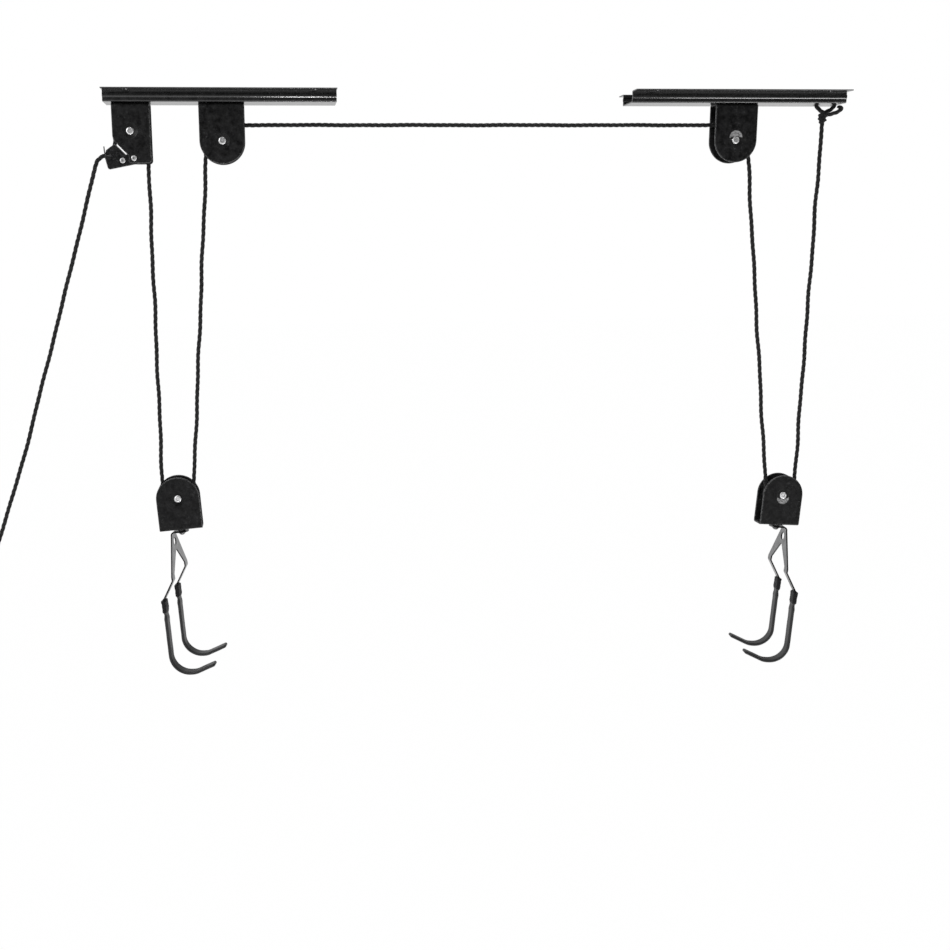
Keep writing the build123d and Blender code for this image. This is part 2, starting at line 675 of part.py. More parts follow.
def sleeve(x, side, under_z, y):
    """A vinyl sleeve over one prong, closed at the tip, with a loose collar at its mouth."""
    end_x, end_drop = PRONG_TIP
    along = hypot(end_x - PRONG_FLAT_X, end_drop - PRONG_LOW_DROP)
    past = SLEEVE_TIP / along
    tip = (end_x + past * (end_x - PRONG_FLAT_X), end_drop + past * (end_drop - PRONG_LOW_DROP))
    turns = [(PRONG_X, SLEEVE_TOP_DROP), (PRONG_X, PRONG_LOW_DROP), (PRONG_FLAT_X, PRONG_LOW_DROP)]
    bends = [PRONG_LOW_R, PRONG_FLAT_R]
    cover = prong_wire(x, side, under_z, y, turns + [tip], bends)
    core = prong_wire(x, side, under_z, y, turns + [PRONG_TIP], bends)
    mouth = Plane(origin=cover @ 0, x_dir=(0, 1, 0), z_dir=cover % 0)
    with BuildPart() as skin:
        with BuildSketch(mouth):
            RectangleRounded(STRIP_W + 2 * SLEEVE_WALL, STRIP_T + 2 * SLEEVE_WALL, SLEEVE_ROUND)
        sweep(path=cover)
        with BuildSketch(mouth):
            RectangleRounded(STRIP_W + 2 * COLLAR_WALL, STRIP_T + 2 * COLLAR_WALL, COLLAR_ROUND)
        extrude(amount=COLLAR_LENGTH)
        with BuildSketch(mouth):
            Rectangle(STRIP_W, STRIP_T)
        sweep(path=core, mode=Mode.SUBTRACT)
    return skin.part


for label, axle, side in (("left", LEFT_BLOCK, 1), ("right", RIGHT_BLOCK, -1)):
    x, under_z = axle[0], axle[1] - BLOCK_BELOW_AXLE
    housing = pulley_housing(axle, under_z, [(x, SWIVEL_R + HOLE_FIT)])
    write(hang(housing, axle, side), f"{label}_block_housing")
    axle_rivet(f"{label}_block_axle", axle)
    sheave(f"{label}_block_sheave", axle)
    write(hang(swivel_rivet(x, under_z), axle, side), f"{label}_swivel_rivet")
    hook_pieces = [
        ("hook_fork", hook_fork(x, side, under_z)),
        ("hook_sleeve_front", sleeve(x, side, under_z, -PRONG_Y)),
        ("hook_sleeve_back", sleeve(x, side, under_z, PRONG_Y)),
    ]
    for piece_name, piece in hook_pieces:
        write(hang(swivelled(piece, axle, label), axle, side), f"{label}_{piece_name}")

# The rope, from its anchor on the right bracket to the knot at the end of the hand line

lock_rise = crossing_tangent(LOCK_SHEAVE, LEFT_BLOCK, 1)
left_fall = crossing_tangent(LEFT_PULLEY, LEFT_BLOCK, -1)
right_rise = crossing_tangent(RIGHT_PULLEY, RIGHT_BLOCK, 1)
anchor_run = (ANCHOR_KNOT_END, right_tangent(ANCHOR_KNOT_END, RIGHT_BLOCK))
crossing = ((LEFT_PULLEY[0], LEFT_PULLEY[1] + PITCH_R), (RIGHT_PULLEY[0], RIGHT_PULLEY[1] + PITCH_R))
lock_leave = (LOCK_SHEAVE[0] - PITCH_R, LOCK_SHEAVE[1])

straight_rope(anchor_run, "rope_anchor_run")
wrapped_rope(RIGHT_BLOCK, anchor_run[1], right_rise[1], 270, "rope_right_block_wrap")
straight_rope(right_rise, "rope_right_rise")
wrapped_rope(RIGHT_PULLEY, right_rise[0], crossing[1], 45, "rope_right_pulley_wrap")
straight_rope(crossing, "rope_crossing")
wrapped_rope(LEFT_PULLEY, crossing[0], left_fall[0], 135, "rope_left_pulley_wrap")
straight_rope(left_fall, "rope_left_fall")
wrapped_rope(LEFT_BLOCK, left_fall[1], lock_rise[1], 270, "rope_left_block_wrap")
straight_rope(lock_rise, "rope_lock_rise")

with BuildLine() as through_lock:
    ThreePointArc(at(lock_rise[0]), at((LOCK_SHEAVE[0], LOCK_SHEAVE[1] + PITCH_R)), at(lock_leave))
    FilletPolyline(at(lock_leave), at(LOCK_TURN), at(LOCK_EXIT), radius=[LOCK_TURN_R])
rope(through_lock.wire(), "rope_through_lock")

hand_points = [at(point) for point in HAND_LINE]
with BuildLine() as hand_line:
    FilletPolyline(*hand_points, radius=cord_radii(hand_points, "hand_line"))
rope(hand_line.wire(), "hand_line")

loop_points = [
    at(ANCHOR_LEFT_LEG[0], -ANCHOR_LEG_Y),
    at(ANCHOR_LEFT_LEG[1]),
    at((ROPE_HOLES_X[0], ANCHOR_LOOP_Z)),
    at((ROPE_HOLES_X[1], ANCHOR_LOOP_Z)),
    at(ANCHOR_RIGHT_LEG[0]),
    at(ANCHOR_RIGHT_LEG[1], ANCHOR_LEG_Y),
]
with BuildLine() as anchor_loop:
    FilletPolyline(*loop_points, radius=cord_radii(loop_points, "anchor_loop"))
rope(anchor_loop.wire(), "rope_anchor_loop")


def knot(name, top, end, radius, tail=0.0):
    """A pulled-tight knot: turns of rope about the rope's own line, with any tail of the rope past them."""
    down = at(end) - at(top)
    length = down.length
    pitch = length / KNOT_TURNS
    waist = KNOT_WAIST_SHARE * radius
    foot = [(ROPE_R, length), (ROPE_R, length + tail)] if tail else []
    with BuildPart() as lump:
        with BuildSketch(Plane(origin=at(top), x_dir=(0, 1, 0), z_dir=Vector(0, 1, 0).cross(down))):
            with BuildLine():
                for turn in range(KNOT_TURNS):
                    crown = (radius, (turn + 0.5) * pitch)
                    ThreePointArc((waist, turn * pitch), crown, (waist, (turn + 1) * pitch))
                Polyline((waist, length), *foot, (0, length + tail), (0, 0), (waist, 0))
            make_face()
        revolve(axis=Axis(at(top), down))
    write(lump.part, name)


last_run = (at(HAND_LINE[-1]) - at(HAND_LINE[-2])).normalized()
knot_end = at(HAND_LINE[-1]) + last_run * KNOT_LENGTH
knot("hand_line_knot", HAND_LINE[-1], (knot_end.X, knot_end.Z), KNOT_R, KNOT_TAIL)
knot("rope_anchor_knot", ANCHOR_KNOT_TOP, ANCHOR_KNOT_END, ANCHOR_KNOT_R)
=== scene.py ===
"""Looks of the bicycle ceiling hoist: laid rope, tied ends, sleeved hooks and the finish of every surface.

Metres, in the frame of the solids: X along the bicycle, Y from front to back, Z up.
"""
import json
import math

import bpy
import numpy as np
from mathutils import Euler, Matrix, Quaternion, Vector, noise


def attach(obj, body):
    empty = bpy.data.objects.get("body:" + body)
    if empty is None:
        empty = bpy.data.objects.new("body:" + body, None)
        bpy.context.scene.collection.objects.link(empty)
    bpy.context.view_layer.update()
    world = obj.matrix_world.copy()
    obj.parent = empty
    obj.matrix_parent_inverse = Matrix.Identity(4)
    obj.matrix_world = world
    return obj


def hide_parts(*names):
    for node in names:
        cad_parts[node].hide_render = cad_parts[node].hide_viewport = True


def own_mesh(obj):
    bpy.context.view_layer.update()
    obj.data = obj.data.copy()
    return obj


# Camera, fitted to the photograph
CAMERA_PLACE = (0.0477, -1.2, -0.1737)
CAMERA_YAW_DEG = 5.28
CAMERA_PITCH_DEG = 9.82
CAMERA_ROLL_DEG = -0.61
CAMERA_LENS = 39.53
CAMERA_SHIFT = (0.112, -0.0462)

# Rope and pulleys
ROPE_R = 0.0024
PITCH_R = 0.0174
LAY_LENGTH = 0.021
STRANDS = 3
STRAND_SHARE = 0.62
SECTION_STEPS = 8
ROPE_STEP = 0.0008
ROPE_SWELL = 0.05
SWELL_SCALE = 90
CUT_TAPER = 0.004
CUT_SHARE = 0.45

# A taut run's slight waves: their height, the length over which they grow from its ends, a long and a short
# one in the rope's plane and one across it, and how far the rope laid before shifts each
ROPE_WAVE = 0.0004
WAVE_EASE = 0.03
LONG_WAVE, SHORT_WAVE, CROSS_WAVE = 0.019, 0.0083, 0.0127
LONG_PHASE, SHORT_PHASE, CROSS_PHASE = 31, 17, 23
SHORT_WAVE_SHARE = 0.7

# Rope route from the lock to the end of the hand line, as (x, z)
LOCK_TURN = (-0.1166, -0.0628)
LOCK_EXIT = (-0.1289, -0.0681)
HAND_LINE = [
    LOCK_EXIT, (-0.13628, -0.07128), (-0.1400, -0.0812), (-0.1452, -0.1005), (-0.1560, -0.1364),
    (-0.1733, -0.1941), (-0.1930, -0.2602), (-0.2133, -0.3255), (-0.2320, -0.3881), (-0.2521, -0.4468),
    (-0.2694, -0.4943), (-0.2834, -0.5317),
]
HAND_KNOT_LENGTH = 0.014
HAND_KNOT_R = 0.0054
HAND_TAIL = 0.012

# Knots: turns of thinner rope along the middle part of the knot, which start and end close to its line; the
# two shares are of the rope's radius
KNOT_TURNS = 3.0
KNOT_STEPS = 10
KNOT_ROPE_SHARE = 0.82
KNOT_SINK_SHARE = 0.78
KNOT_ENTRY = 0.001
KNOT_FROM, KNOT_SPAN = 0.14, 0.72
KNOT_END_REACH, KNOT_GROWTH = 0.35, 5

# Rope anchor under the right bracket
ANCHOR_KNOT_TOP = (0.6912, -0.0196)
ANCHOR_KNOT_END = (0.6914, -0.0349)
ANCHOR_KNOT_R = 0.0050
ANCHOR_LOOP = [
    (0.6913, -0.0027, -0.0221), (0.6830, 0.0, -0.0170), (0.6830, 0.0, -0.0071), (0.7040, 0.0, -0.0071),
    (0.7056, 0.0, -0.0178), (0.6919, 0.0027, -0.0221),
]
ANCHOR_TAIL = [
    (0.6907, -0.0028, -0.0255), (0.6986, -0.0042, -0.0241), (0.7078, -0.0048, -0.0214),
    (0.7121, -0.0046, -0.0172), (0.7097, -0.0044, -0.0158), (0.7060, -0.0050, -0.0160),
]

# Double hooks, down from the block's underside and across from the swivel axis
HOOK_TURN_DEG = {"left": -10.6, "right": -7.3}
PRONG_Y = 0.028
PRONG_X = -0.0214
PRONG_LOW_DROP = 0.1666
PRONG_FLAT_X = 0.0065
PRONG_TIP = (0.0291, 0.1574)
PRONG_BENDS = (0.022, 0.020)
STRIP_W = 0.0096
STRIP_T = 0.0016
SLEEVE_WALL = 0.0010
SLEEVE_ROUND = 0.0015
SLEEVE_TOP_DROP = 0.0773
SLEEVE_PAST_TIP = 0.0014
SLEEVE_STEP = 0.0006
SLEEVE_ROUND_LIMIT = 0.95
SLEEVE_TIP_LENGTH = 0.0024
SLEEVE_TIP_WIDE, SLEEVE_TIP_THICK = 0.72, 0.45
COLLAR_LENGTH = 0.014
COLLAR_WALL = 0.0014
COLLAR_EDGE = 0.0005
COLLAR_SLACK = 0.0011
COLLAR_SLACK_FROM = 0.2
COLLAR_FOLD = 0.0026
COLLAR_FOLD_SHARE = 0.25
NECK_AFTER, NECK_DEPTH = 0.0028, 0.00035
FLARE_AFTER, FLARE_HEIGHT = 0.0085, 0.0002
NECK_SPREAD = 0.0022

# Unevenness of the vinyl, as noise scale and height: creases of the collar and ripples all along
CREASE = (420, 0.0004)
RIPPLE = (110, 0.00012)

# Painted highlight beside an axle: a light crescent that stands for reflected light, inside one circle and
# outside another, each given by its distance from the axle and its radius
CRESCENT_INSIDE = (0.0032, 0.0074)
CRESCENT_OUTSIDE = (0.0098, 0.0143)
CRESCENT_EDGE = 0.0005

# Stage: each span is from and to, along the way to the bright side, with the strengths there
FLOOR_Z = -2.3
FLOOR_REACH = 30.0
FLOOR_SHARE = 0.995
BRIGHT_SIDE = (-0.75, 0.65, 0.1)
BACKDROP_SPAN = (0.15, 0.75, 0.0, 1.0)
ROOM_SPAN = (-0.7, 0.7, 0.14, 0.75)

# Lamps: name, place, aim, size and power
LAMPS = [
    ("key", (-1.2, -1.3, 0.5), (0.2, 0.0, -0.3), 0.8, 14.0),
    ("fill", (1.9, -0.5, 0.7), (0.4, 0.0, -0.3), 0.9, 5.0),
    ("low_left", (0.17, -0.32, -2.18), (0.092, 0.0, 0.0), 0.16, 4.0),
    ("low_right", (1.57, -0.3, -1.96), (0.6, 0.0, 0.0), 0.6, 9.0),
    ("top", (0.3, -0.35, 1.2), (0.3, 0.0, -0.2), 1.0, 6.0),
]

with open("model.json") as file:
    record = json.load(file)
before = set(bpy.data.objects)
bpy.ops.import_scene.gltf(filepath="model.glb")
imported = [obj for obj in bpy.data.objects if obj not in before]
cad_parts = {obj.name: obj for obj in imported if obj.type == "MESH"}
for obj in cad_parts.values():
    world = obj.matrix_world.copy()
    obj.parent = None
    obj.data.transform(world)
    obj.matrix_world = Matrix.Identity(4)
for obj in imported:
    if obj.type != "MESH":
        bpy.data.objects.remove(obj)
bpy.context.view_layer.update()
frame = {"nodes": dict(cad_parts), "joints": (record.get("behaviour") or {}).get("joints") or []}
nodes = frame["nodes"]
joints = {joint["name"]: joint for joint in frame["joints"]}


def axle(joint):
    """A pulley's middle, as (x, z)."""
    place = joints[joint]["pos_m"]
    return place[0], place[2]


left_pulley = axle("left_pulley_turn")
right_pulley = axle("right_pulley_turn")
lock_sheave = axle("lock_sheave_turn")
left_block = axle("left_block_sheave_turn")
right_block = axle("right_block_sheave_turn")


# Shader helpers


class Shader:
    """A material's node tree, with short ways to add and join nodes."""

    def __init__(self, name):
        self.material = bpy.data.materials.new(name)
        self.material.use_nodes = True
        self.tree = self.material.node_tree
        self.surface = self.tree.nodes["Principled BSDF"]

    def add(self, kind, **settings):
        node = self.tree.nodes.new(kind)
        for key, value in settings.items():
            setattr(node, key, value)
        return node

    def join(self, source, target):
        self.tree.links.new(source, target)

    def place(self, stretch=(1.0, 1.0, 1.0)):
        """Object coordinates in metres, stretched along the axes."""
        coordinates = self.add("ShaderNodeTexCoord")
        mapping = self.add("ShaderNodeMapping")
        mapping.inputs["Scale"].default_value = stretch
        self.join(coordinates.outputs["Object"], mapping.inputs["Vector"])
        return mapping.outputs["Vector"]

    def grain(self, scale, detail=4.0, roughness=0.6, stretch=(1.0, 1.0, 1.0)):
        """Noise between 0 and 1."""
        texture = self.add("ShaderNodeTexNoise")
        texture.inputs["Scale"].default_value = scale
        texture.inputs["Detail"].default_value = detail
        texture.inputs["Roughness"].default_value = roughness
        self.join(self.place(stretch), texture.inputs["Vector"])
        return texture.outputs["Fac"]

    def ramp(self, value, low, high, start=0.0, end=1.0):
        """A value carried from the range low to high into the range start to end."""
        span = self.add("ShaderNodeMapRange")
        span.inputs["From Min"].default_value = low
        span.inputs["From Max"].default_value = high
        span.inputs["To Min"].default_value = start
        span.inputs["To Max"].default_value = end
        self.join(value, span.inputs["Value"])
        return span.outputs["Result"]

    def times(self, first, second):
        """A value times another, or times a plain number."""
        product = self.add("ShaderNodeMath", operation="MULTIPLY")
        self.join(first, product.inputs[0])
        if isinstance(second, float):
            product.inputs[1].default_value = second
        else:
            self.join(second, product.inputs[1])
        return product.outputs["Value"]

    def mix(self, factor, first, second):
        """A blend of two colours; each is a colour or another node's output."""
        blend = self.add("ShaderNodeMix", data_type="RGBA")
        self.join(factor, blend.inputs["Factor"])
        for socket, colour in (("A", first), ("B", second)):
            target = [item for item in blend.inputs if item.name == socket and item.type == "RGBA"][0]
            if isinstance(colour, tuple):
                target.default_value = (*colour, 1.0)
            else:
                self.join(colour, target)
        return [item for item in blend.outputs if item.type == "RGBA"][0]

    def edges(self, radius):
        """About 1 along sharp edges and 0 on flat surfaces."""
        bevel = self.add("ShaderNodeBevel", samples=6)
        bevel.inputs["Radius"].default_value = radius
        geometry = self.add("ShaderNodeNewGeometry")
        dot = self.add("ShaderNodeVectorMath", operation="DOT_PRODUCT")
        self.join(bevel.outputs["Normal"], dot.inputs[0])
        self.join(geometry.outputs["Normal"], dot.inputs[1])
        return self.ramp(dot.outputs["Value"], 0.995, 0.86)

    def reach(self, x, z):
        """Distance from the line along Y through x and z."""
        offset = self.add("ShaderNodeVectorMath", operation="SUBTRACT")
        offset.inputs[1].default_value = (x, 0.0, z)
        self.join(self.place((1.0, 0.0, 1.0)), offset.inputs[0])
        length = self.add("ShaderNodeVectorMath", operation="LENGTH")
        self.join(offset.outputs["Vector"], length.inputs[0])
        return length.outputs["Value"]

    def bump(self, height, distance):
        relief = self.add("ShaderNodeBump")
        relief.inputs["Distance"].default_value = distance
        self.join(height, relief.inputs["Height"])
        self.join(relief.outputs["Normal"], self.surface.inputs["Normal"])

    def colour(self, source):
        self.join(source, self.surface.inputs["Base Color"])

    def roughness(self, source):
        self.join(source, self.surface.inputs["Roughness"])


# Materials


def black_paint(name, specular, smooth, dull, wear_and_highlight, relief, crescent_highlights=()):
    """Black paint on stamped sheet, dusty and scuffed, and lighter along the edges, partly worn paint and
    partly painted highlight; its roughness is smooth to dull.

    The share after the roughness is how much of the paint the scuffs and the lighter edges take, and relief
    the height of the paint's grain.
    Each item of the last argument is an axle's x and z and the way from it to the web, where a light crescent
    is laid on as a painted highlight.
    """
    shader = Shader(name)
    shader.surface.inputs["Specular IOR Level"].default_value = specular
    cloud = shader.grain(120.0, 7.0, 0.75)
    base = shader.mix(shader.ramp(cloud, 0.38, 0.66), (0.0026, 0.0026, 0.0028), (0.026, 0.026, 0.0265))
    scuffs = shader.grain(330.0, 6.0, 0.72)
    patches = shader.ramp(shader.grain(34.0, 2.0), 0.44, 0.62)
    scuffed = shader.times(shader.ramp(scuffs, 0.54, 0.7), patches)
    base = shader.mix(shader.times(scuffed, wear_and_highlight), base, (0.085, 0.085, 0.087))
    specks = shader.ramp(shader.grain(1100.0, 2.0, 0.4), 0.7, 0.76)
    base = shader.mix(shader.times(specks, 0.5), base, (0.12, 0.12, 0.12))
    # Lighter edges: partly worn paint and partly painted highlight along the rims
    worn_edge_light = shader.times(shader.edges(0.002), shader.ramp(shader.grain(420.0, 3.0), 0.34, 0.64))
    base = shader.mix(shader.times(worn_edge_light, wear_and_highlight), base, (0.36, 0.36, 0.364))
    # Painted highlight: a light crescent beside each listed axle, standing for reflected light
    for x, z, way in crescent_highlights:
        (up, radius), (down, hollow) = CRESCENT_INSIDE, CRESCENT_OUTSIDE
        inside = shader.ramp(shader.reach(x, z + up * way), radius + CRESCENT_EDGE, radius - CRESCENT_EDGE)
        beyond = shader.ramp(shader.reach(x, z - down * way), hollow - CRESCENT_EDGE, hollow + CRESCENT_EDGE)
        streaks = shader.ramp(shader.grain(600.0, 4.0, 0.6, stretch=(0.6, 1.0, 1.0)), 0.35, 0.6, 0.3, 1.0)
        crescent = shader.times(shader.times(inside, beyond), streaks)
        base = shader.mix(crescent, base, (0.52, 0.52, 0.523))
    shader.colour(base)
    shader.roughness(shader.ramp(cloud, 0.25, 0.75, smooth, dull))
    shader.bump(shader.grain(900.0, 3.0, 0.5), relief)
    return shader.material


def zinc_plate(name, side_shade_tone=None):
    """Dull zinc plate with faint grain and tarnish, and painted shade darkening its edges; the tone after the
    name, if given, is painted shade on a strip's sideways-facing cut sides.
    """
    shader = Shader(name)
    shader.surface.inputs["Metallic"].default_value = 1.0
    tarnish = shader.grain(140.0, 5.0, 0.6)
    base = shader.mix(shader.ramp(tarnish, 0.3, 0.75), (0.21, 0.212, 0.214), (0.1, 0.1, 0.102))
    # Painted shade: edges darkened, as they would look reflecting a dark room
    edge_shade = shader.edges(0.0009)
    base = shader.mix(shader.times(edge_shade, 0.9), base, (0.02, 0.02, 0.02))
    # Painted shade: faces turned sideways are darkened to the given tone
    if side_shade_tone:
        way = shader.add("ShaderNodeTexCoord")
        sideways = shader.add("ShaderNodeVectorMath", operation="DOT_PRODUCT")
        sideways.inputs[1].default_value = (0.0, 1.0, 0.0)
        shader.join(way.outputs["Normal"], sideways.inputs[0])
        facing = shader.add("ShaderNodeMath", operation="ABSOLUTE")
        shader.join(sideways.outputs["Value"], facing.inputs[0])
        base = shader.mix(shader.ramp(facing.outputs["Value"], 0.6, 0.8), base, side_shade_tone)
    shader.colour(base)
    streaks = shader.grain(900.0, 4.0, 0.65, stretch=(1.0, 1.0, 0.12))
    shader.roughness(shader.ramp(streaks, 0.3, 0.75, 0.2, 0.36))
    shader.bump(shader.grain(1300.0, 3.0, 0.5), 0.00003)
    return shader.material


def rivet_steel():
    """Rolled rivet heads: bright metal with fine tarnish, and painted shade darkening the hollow where
    ambient occlusion finds it.
    """
    shader = Shader("rivet_steel")
    shader.surface.inputs["Metallic"].default_value = 1.0
    grime = shader.grain(600.0, 4.0, 0.6)
    base = shader.mix(shader.ramp(grime, 0.35, 0.75), (0.88, 0.88, 0.88), (0.6, 0.6, 0.61))
    # Painted shade: the colour darkens where ambient occlusion finds the rivet's hollow
    hollow_shade = shader.add("ShaderNodeAmbientOcclusion", samples=8)
    hollow_shade.inputs["Distance"].default_value = 0.003
    base = shader.mix(shader.ramp(hollow_shade.outputs["AO"], 0.2, 0.7), (0.24, 0.24, 0.24), base)
    shader.colour(base)
    shader.roughness(shader.ramp(grime, 0.3, 0.7, 0.24, 0.42))
    shader.bump(shader.grain(2200.0, 2.0, 0.5), 0.00003)
    return shader.material


def nylon():
    """Moulded black nylon, slightly cloudy."""
    shader = Shader("nylon")
    cloud = shader.grain(180.0, 4.0)
    shader.colour(shader.mix(cloud, (0.012, 0.012, 0.013), (0.035, 0.035, 0.037)))
    shader.roughness(shader.ramp(cloud, 0.3, 0.7, 0.42, 0.6))
    shader.bump(shader.grain(1600.0, 3.0), 0.00004)
    return shader.material


def vinyl():
    """Satin vinyl sleeve with faint rubbed streaks along the prong."""
    shader = Shader("vinyl")
    shader.surface.inputs["Specular IOR Level"].default_value = 0.42
    cloud = shader.grain(120.0, 5.0, 0.6)
    base = shader.mix(shader.ramp(cloud, 0.3, 0.72), (0.009, 0.0092, 0.0097), (0.023, 0.0234, 0.0245))
    rubbed = shader.ramp(shader.grain(320.0, 5.0, 0.65, stretch=(1.0, 0.5, 0.3)), 0.58, 0.75)
    base = shader.mix(shader.times(rubbed, 0.35), base, (0.075, 0.075, 0.077))
    shader.colour(base)
    shader.roughness(shader.ramp(cloud, 0.25, 0.75, 0.36, 0.5))
    shader.bump(shader.grain(700.0, 4.0, 0.6), 0.00008)
    return shader.material


def collar_vinyl():
    """The dull, creased mouth of a sleeve."""
    shader = Shader("collar_vinyl")
    shader.surface.inputs["Specular IOR Level"].default_value = 0.15
    cloud = shader.grain(300.0, 4.0)
    shader.colour(shader.mix(cloud, (0.006, 0.006, 0.0065), (0.02, 0.02, 0.021)))
    shader.roughness(shader.ramp(cloud, 0.3, 0.7, 0.45, 0.62))
    shader.bump(shader.grain(520.0, 5.0, 0.65), 0.0002)
    return shader.material


def rope_fibre():
    """Black laid fibre: yarns slanting along each strand, dusty in patches, and darker in the grooves between
    yarns as painted shade.
    """
    shader = Shader("rope_fibre")
    shader.surface.inputs["Specular IOR Level"].default_value = 0.25
    shader.surface.inputs["Sheen Weight"].default_value = 0.12
    shader.surface.inputs["Sheen Roughness"].default_value = 0.4
    lay = shader.add("ShaderNodeUVMap", uv_map="lay")
    yarns = shader.add("ShaderNodeTexWave", wave_type="BANDS", bands_direction="DIAGONAL")
    yarns.inputs["Scale"].default_value = 1.6
    yarns.inputs["Distortion"].default_value = 1.2
    yarns.inputs["Detail"].default_value = 2.0
    shader.join(lay.outputs["UV"], yarns.inputs["Vector"])
    dust = shader.grain(240.0, 4.0)
    # Painted shade: the yarn bands darken the colour where the bump sinks into the grooves
    base = shader.mix(yarns.outputs["Fac"], (0.004, 0.004, 0.0042), (0.017, 0.017, 0.0175))
    base = shader.mix(shader.times(shader.ramp(dust, 0.5, 0.8), 0.5), base, (0.04, 0.04, 0.04))
    shader.colour(base)
    shader.roughness(shader.ramp(yarns.outputs["Fac"], 0.0, 1.0, 0.8, 0.55))
    shader.bump(yarns.outputs["Fac"], 0.00025)
    return shader.material


# Axles whose housings get a painted highlight crescent, each with the way from it to the web
CRESCENT_HIGHLIGHTS = ((*right_pulley, 1.0), (*right_block, -1.0))
PAINT = black_paint("black_paint", 0.13, 0.26, 0.44, 0.85, 0.00006, CRESCENT_HIGHLIGHTS)
RAIL_PAINT = black_paint("rail_paint", 0.6, 0.1, 0.2, 0.3, 0.00002)
ZINC = zinc_plate("zinc_plate")
# Fork plates, with painted shade darkening their sideways cut sides
FORK_ZINC = zinc_plate("fork_zinc", (0.007, 0.007, 0.007))
RIVET = rivet_steel()
NYLON = nylon()
VINYL = vinyl()
COLLAR = collar_vinyl()
ROPE = rope_fibre()


def finish_of(node):
    """The finish of a carried-over solid, by the piece that it is."""
    if node.endswith("_sheave"):
        return NYLON
    if node.endswith(("_axle", "pivot_rivet", "cleat_rivet")):
        return RIVET
    if node.endswith("_hook_fork"):
        return FORK_ZINC
    if node.endswith("_bracket"):
        return RAIL_PAINT
    if node.endswith(("_housing", "housing_rivets", "wire_guide")) or node.startswith("cleat_plate"):
        return PAINT
    return ZINC


for name, solid in nodes.items():
    solid.data.materials.clear()
    solid.data.materials.append(finish_of(name))


# Mesh helpers


def piece_from(name, rings, materials, ring_material=None):
    """A closed tube over rings of equally many points; ring_material gives the material of each ring."""
    count = len(rings[0])
    points = [point for ring in rings for point in ring]
    faces = []
    for step in range(len(rings) - 1):
        first, second = step * count, (step + 1) * count
        for side in range(count):
            after = (side + 1) % count
            faces.append((first + side, first + after, second + after, second + side))
    faces.append(tuple(reversed(range(count))))
    faces.append(tuple(range(len(points) - count, len(points))))
    mesh = bpy.data.meshes.new(name)
    mesh.from_pydata(points, [], faces)
    for material in materials:
        mesh.materials.append(material)
    mesh.polygons.foreach_set("use_smooth", [True] * len(mesh.polygons))
    if ring_material:
        for face in mesh.polygons:
            face.material_index = ring_material(min(face.vertices) // count)
    mesh.update()
    piece = bpy.data.objects.new(name, mesh)
    bpy.context.scene.collection.objects.link(piece)
    return piece


def smooth_line(controls):
    """Points read from the smooth spline that has these control points."""
    curve = bpy.data.curves.new("route", "CURVE")
    curve.dimensions = "3D"
    curve.resolution_u = 32
    spline = curve.splines.new("NURBS")
    spline.points.add(len(controls) - 1)
    for point, place in zip(spline.points, controls):
        point.co = (*place, 1.0)
    spline.order_u = 3
    spline.use_endpoint_u = True
    holder = bpy.data.objects.new("route", curve)
    line = bpy.data.meshes.new_from_object(holder)
    places = [vertex.co.copy() for vertex in line.vertices]
    bpy.data.objects.remove(holder)
    bpy.data.curves.remove(curve)
    bpy.data.meshes.remove(line)
    return places


def even_line(places, step):
    """The same line as evenly spaced points, with its length."""
    line = np.array(places, float)
    along = np.concatenate([[0.0], np.cumsum(np.linalg.norm(np.diff(line, axis=0), axis=1))])
    count = max(3, round(along[-1] / step) + 1)
    wanted = np.linspace(0.0, along[-1], count)
    even = np.stack([np.interp(wanted, along, line[:, axis]) for axis in range(3)], axis=1)
    return even, along[-1]


def line_frames(line, across=(0.0, 1.0, 0.0)):
    """Two cross directions at each point, the first near the given one."""
    tangents = np.gradient(line, axis=0)
    tangents /= np.linalg.norm(tangents, axis=1)[:, None]
    side = np.array(across) - tangents * (tangents @ np.array(across))[:, None]
    side /= np.linalg.norm(side, axis=1)[:, None]
    return side, np.cross(tangents, side)


# Rope


def strand_section(radius):
    """Outline of strands laid side by side, as (angle, reach) about the rope's middle."""
    strand_r = radius * STRAND_SHARE
    middle = radius - strand_r
    half = math.pi / STRANDS
    outline = []
    for strand in range(STRANDS):
        for step in range(SECTION_STEPS):
            turn = half * (2 * step / SECTION_STEPS - 1)
            bulge = math.sqrt(max(strand_r**2 - (middle * math.sin(turn)) ** 2, 0.0))
            outline.append((2 * half * strand + turn, middle * math.cos(turn) + bulge))
    return outline


